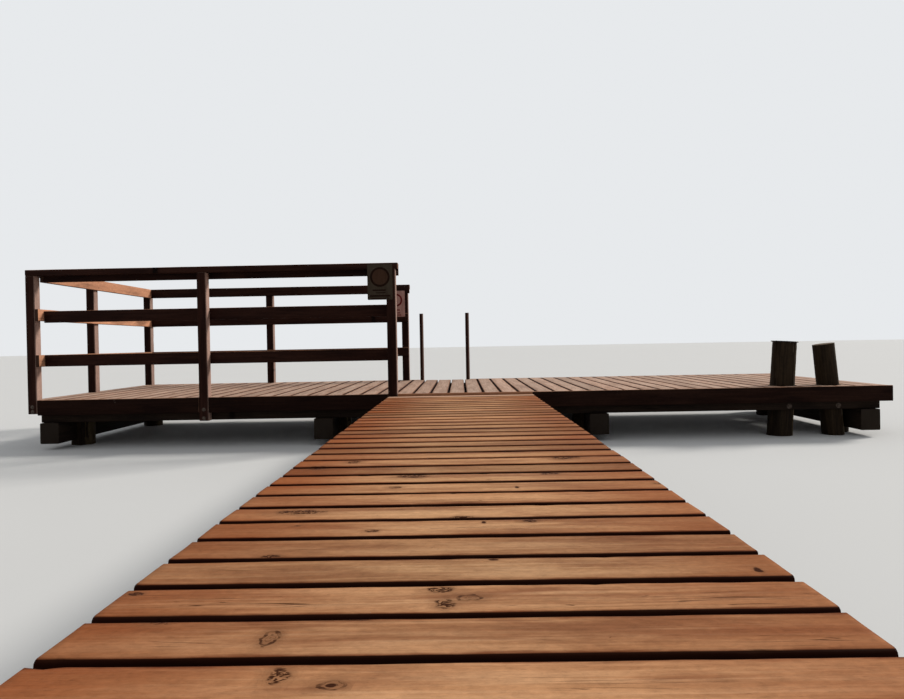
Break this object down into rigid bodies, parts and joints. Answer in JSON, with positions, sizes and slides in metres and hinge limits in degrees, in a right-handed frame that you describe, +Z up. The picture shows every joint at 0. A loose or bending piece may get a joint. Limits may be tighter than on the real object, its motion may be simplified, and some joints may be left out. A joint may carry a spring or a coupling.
{
  "type": "timber bathing jetty",
  "caption": "Timber walkway on piles that ends in a T-shaped bathing platform with a railed side, log mooring posts and a ladder.",
  "frame": {"origin": "middle of the whole outline at water level, where the piles are cut", "axes": "+X along the platform, to the right seen from the shore; +Y from the shore towards the lake; +Z up"},
  "size_m": [7.23, 10.29, 1.526],
  "materials": {
    "walkway_boards": "worn red-brown stain",
    "platform_boards": "sun-bleached red-brown stain",
    "railing_timber": "dark red-brown stain",
    "carrying_timber": "dark weathered sawn timber",
    "round_logs": "weathered round timber",
    "sign_plates": "pale matt paint",
    "post_cap": "dull dark sheet"
  },
  "bodies": {
    "root": {"walk_deck_1": "walkway_boards", "walk_deck_2": "walkway_boards", "walk_deck_3": "walkway_boards", "walk_deck_4": "walkway_boards", "walk_stringers_1": "carrying_timber", "walk_stringers_2": "carrying_timber", "walk_stringers_3": "carrying_timber", "walk_stringers_4": "carrying_timber", "walk_beams": "carrying_timber", "walk_piles_1": "round_logs", "walk_piles_2": "round_logs", "walk_piles_3": "round_logs", "walk_piles_4": "round_logs", "walk_piles_5": "round_logs", "deck_1": "platform_boards", "deck_2": "platform_boards", "deck_3": "platform_boards", "deck_4": "platform_boards", "stringer_near": "carrying_timber", "stringers_middle": "carrying_timber", "stringer_far": "carrying_timber", "cross_beam_1": "carrying_timber", "cross_beam_2": "carrying_timber", "cross_beam_3": "carrying_timber", "cross_beam_4": "carrying_timber", "piles_1": "round_logs", "piles_2": "round_logs", "piles_3": "round_logs", "pile_far_right": "round_logs", "pile_near_right": "round_logs", "edge_boards": "carrying_timber", "mooring_post_corner": "round_logs", "mooring_post_capped": "round_logs", "mooring_cap": "post_cap", "posts_near": "railing_timber", "posts_far": "railing_timber", "post_side": "railing_timber", "rails_near": "railing_timber", "rails_far": "railing_timber", "rails_side": "railing_timber", "top_beam_near": "railing_timber", "top_beam_far": "railing_timber", "top_beam_side": "railing_timber", "sign_near": "sign_plates", "sign_far": "sign_plates", "ladder_stiles": "railing_timber", "ladder_treads": "railing_timber"}
  },
  "joints": []
}
